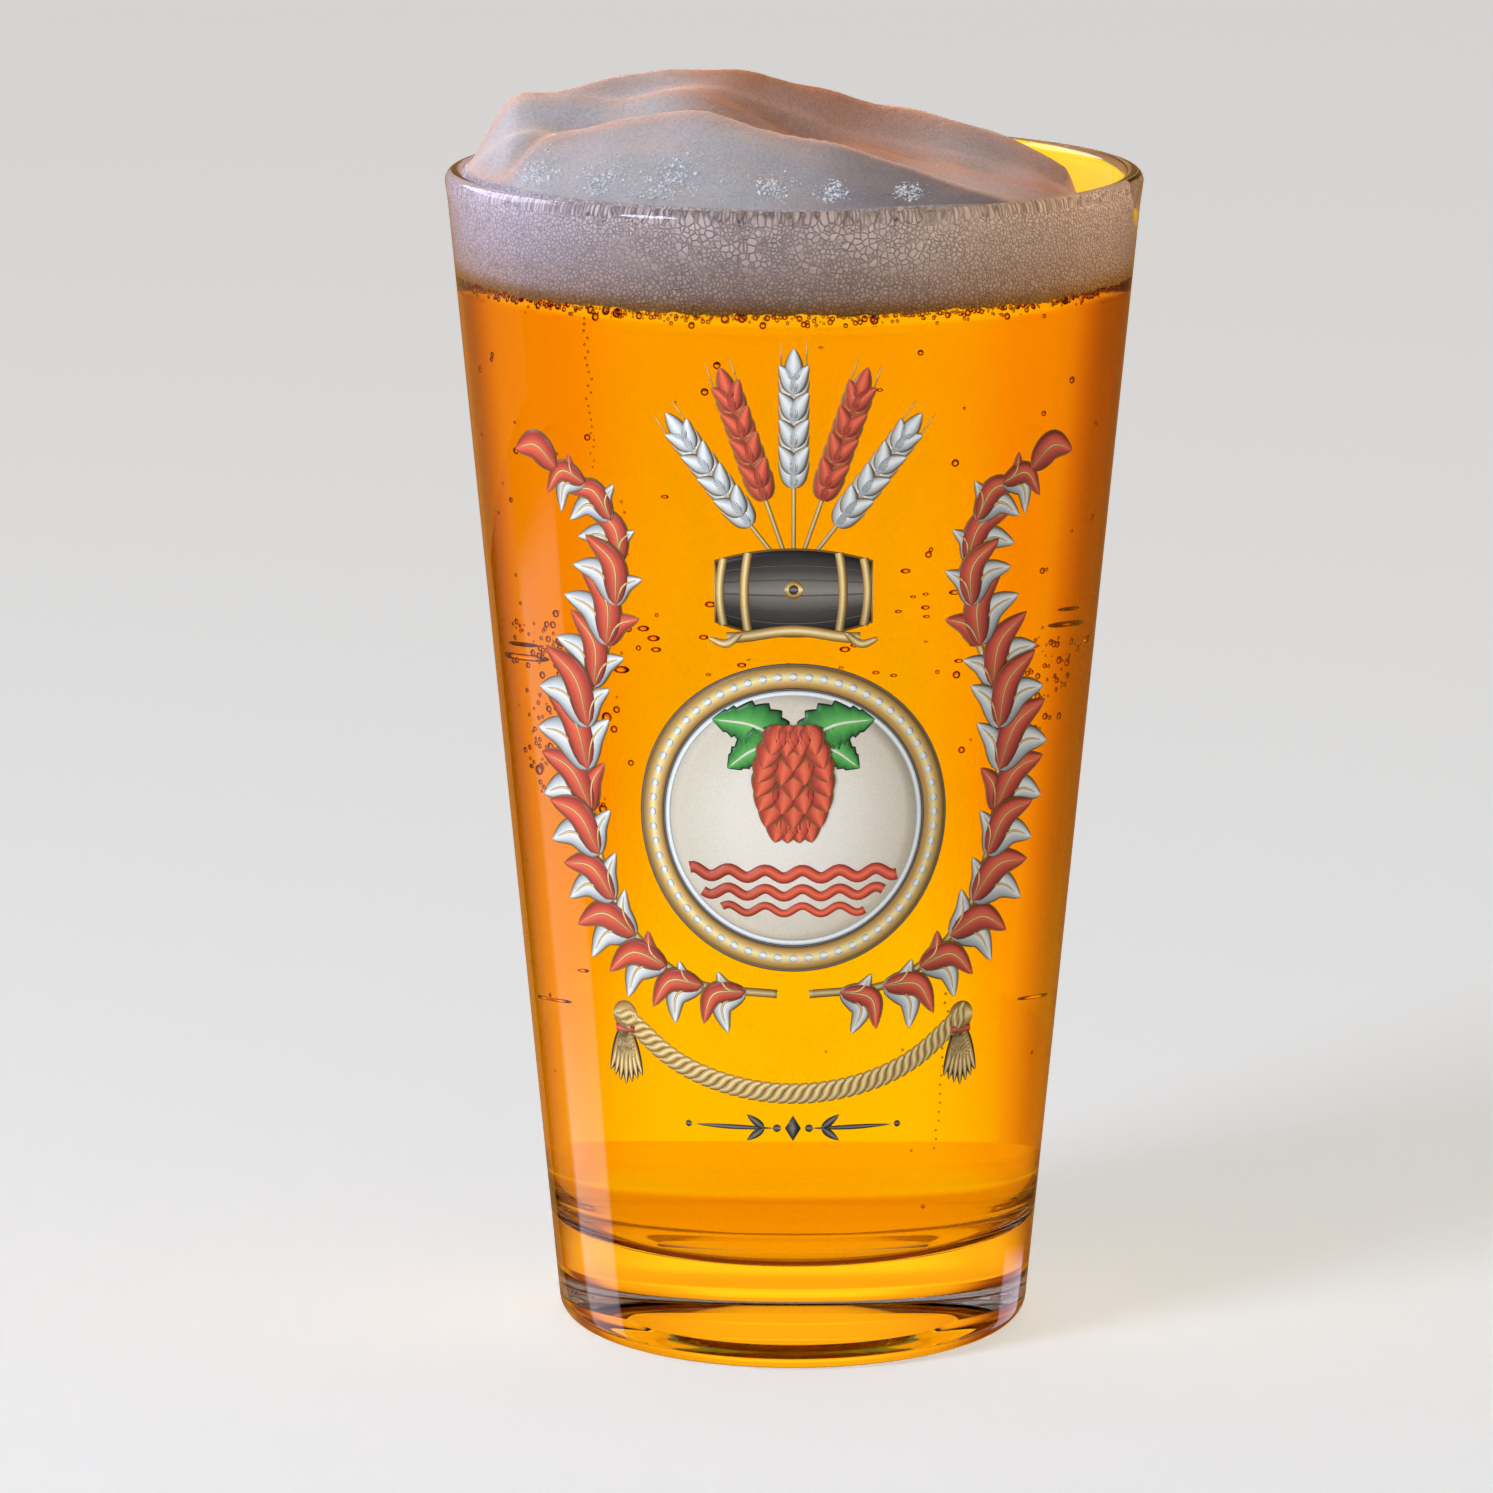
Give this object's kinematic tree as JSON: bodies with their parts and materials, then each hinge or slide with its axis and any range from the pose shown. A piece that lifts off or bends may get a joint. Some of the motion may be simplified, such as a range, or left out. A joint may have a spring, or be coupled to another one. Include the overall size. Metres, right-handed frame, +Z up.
{
  "type": "pint of beer",
  "caption": "Tapered pint glass filled with amber beer under a folded head of foam that stands above the rim; it rests on the ring of its foot.",
  "frame": {"origin": "middle of the circle that the foot stands on", "axes": "+Z up along the glass's axis, +X to the right and +Y away from the viewer in the view where the head is low on the right"},
  "size_m": [0.0882, 0.0882, 0.1605],
  "materials": {
    "clear_glass": "clear, polished",
    "amber_beer": "clear liquid",
    "beer_foam": "wet foam, fine bubbles"
  },
  "bodies": {
    "root": {"glass": "clear_glass", "beer": "amber_beer", "foam": "beer_foam"}
  },
  "joints": []
}
